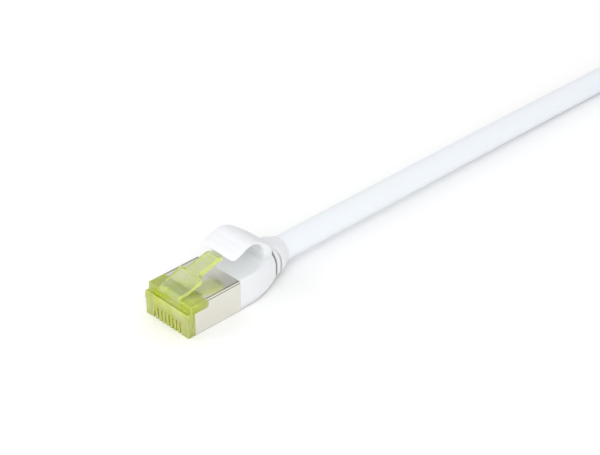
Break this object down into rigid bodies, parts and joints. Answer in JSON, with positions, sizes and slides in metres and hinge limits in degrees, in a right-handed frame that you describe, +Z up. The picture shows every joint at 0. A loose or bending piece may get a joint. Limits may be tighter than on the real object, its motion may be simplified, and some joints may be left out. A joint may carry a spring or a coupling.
{
  "type": "ethernet patch cable",
  "caption": "Shielded network patch cable with a clear lime modular plug, sprung latch, white boot and arched latch guard on each end, and the spare length coiled and tied.",
  "frame": {"origin": "centre of the first plug's underside, on the surface it lies on", "axes": "+Y along the first plug from its nose to its cable, +X across it, +Z up through its latch"},
  "size_m": [0.0734, 0.1913, 0.0123],
  "materials": {
    "housing": "clear moulded",
    "latch": "clear moulded",
    "shield_shell": "bright nickel plate",
    "contacts": "gold plate",
    "load_bar": "clear moulded",
    "crimp_ferrule": "tinned",
    "braid_sleeve": "tinned braid",
    "jacket_end": "satin",
    "boot": "satin moulded",
    "guard": "satin moulded",
    "wire_white_orange": "satin insulation",
    "wire_orange": "satin insulation",
    "wire_white_green": "satin insulation",
    "wire_blue": "satin insulation",
    "wire_white_blue": "satin insulation",
    "wire_green": "satin insulation",
    "wire_white_brown": "satin insulation",
    "wire_brown": "satin insulation",
    "jacket": "satin",
    "tie": "woven hook-and-loop"
  },
  "bodies": {
    "root": {"housing_a": "housing", "shield_shell_a": "shield_shell", "contacts_a": "contacts", "load_bar_a": "load_bar", "crimp_ferrule_a": "crimp_ferrule", "braid_sleeve_a": "braid_sleeve", "jacket_end_a": "jacket_end", "boot_a": "boot", "wire_white_orange_a": "wire_white_orange", "wire_orange_a": "wire_orange", "wire_white_green_a": "wire_white_green", "wire_blue_a": "wire_blue", "wire_white_blue_a": "wire_white_blue", "wire_green_a": "wire_green", "wire_white_brown_a": "wire_white_brown", "wire_brown_a": "wire_brown", "cable": "jacket", "cable_coil": "jacket", "cable_tail": "jacket", "cable_tie": "tie", "housing_b": "housing", "shield_shell_b": "shield_shell", "contacts_b": "contacts", "load_bar_b": "load_bar", "crimp_ferrule_b": "crimp_ferrule", "braid_sleeve_b": "braid_sleeve", "jacket_end_b": "jacket_end", "boot_b": "boot", "wire_white_orange_b": "wire_white_orange", "wire_orange_b": "wire_orange", "wire_white_green_b": "wire_white_green", "wire_blue_b": "wire_blue", "wire_white_blue_b": "wire_white_blue", "wire_green_b": "wire_green", "wire_white_brown_b": "wire_white_brown", "wire_brown_b": "wire_brown"},
    "latch_a": {"latch_a": "latch"},
    "guard_a": {"guard_a": "guard"},
    "latch_b": {"latch_b": "latch"},
    "guard_b": {"guard_b": "guard"}
  },
  "joints": [
    {"name": "guard_a_press", "type": "hinge", "parent": "root", "child": "guard_a", "pos_m": [0, 0.0079, 0.00765], "axis": [1, 0, 0], "range_deg": [0, 12.5], "stiffness_Nm_per_rad": 0.02},
    {"name": "latch_a_press", "type": "hinge", "parent": "root", "child": "latch_a", "pos_m": [0, -0.01295, 0.00685], "axis": [-1, 0, 0], "range_deg": [0, 12], "stiffness_Nm_per_rad": 0.02},
    {"name": "guard_b_press", "type": "hinge", "parent": "root", "child": "guard_b", "pos_m": [0.06139, 0.09825, 0.00765], "axis": [0.9994, -0.0333, 0], "range_deg": [0, 12.5], "stiffness_Nm_per_rad": 0.02},
    {"name": "latch_b_press", "type": "hinge", "parent": "root", "child": "latch_b", "pos_m": [0.0607, 0.07741, 0.00685], "axis": [-0.9994, 0.0333, 0], "range_deg": [0, 12], "stiffness_Nm_per_rad": 0.02}
  ],
  "couplings": [
    {"joint": "latch_a_press", "follows": "guard_a_press", "ratio": 0.96},
    {"joint": "latch_b_press", "follows": "guard_b_press", "ratio": 0.96}
  ]
}
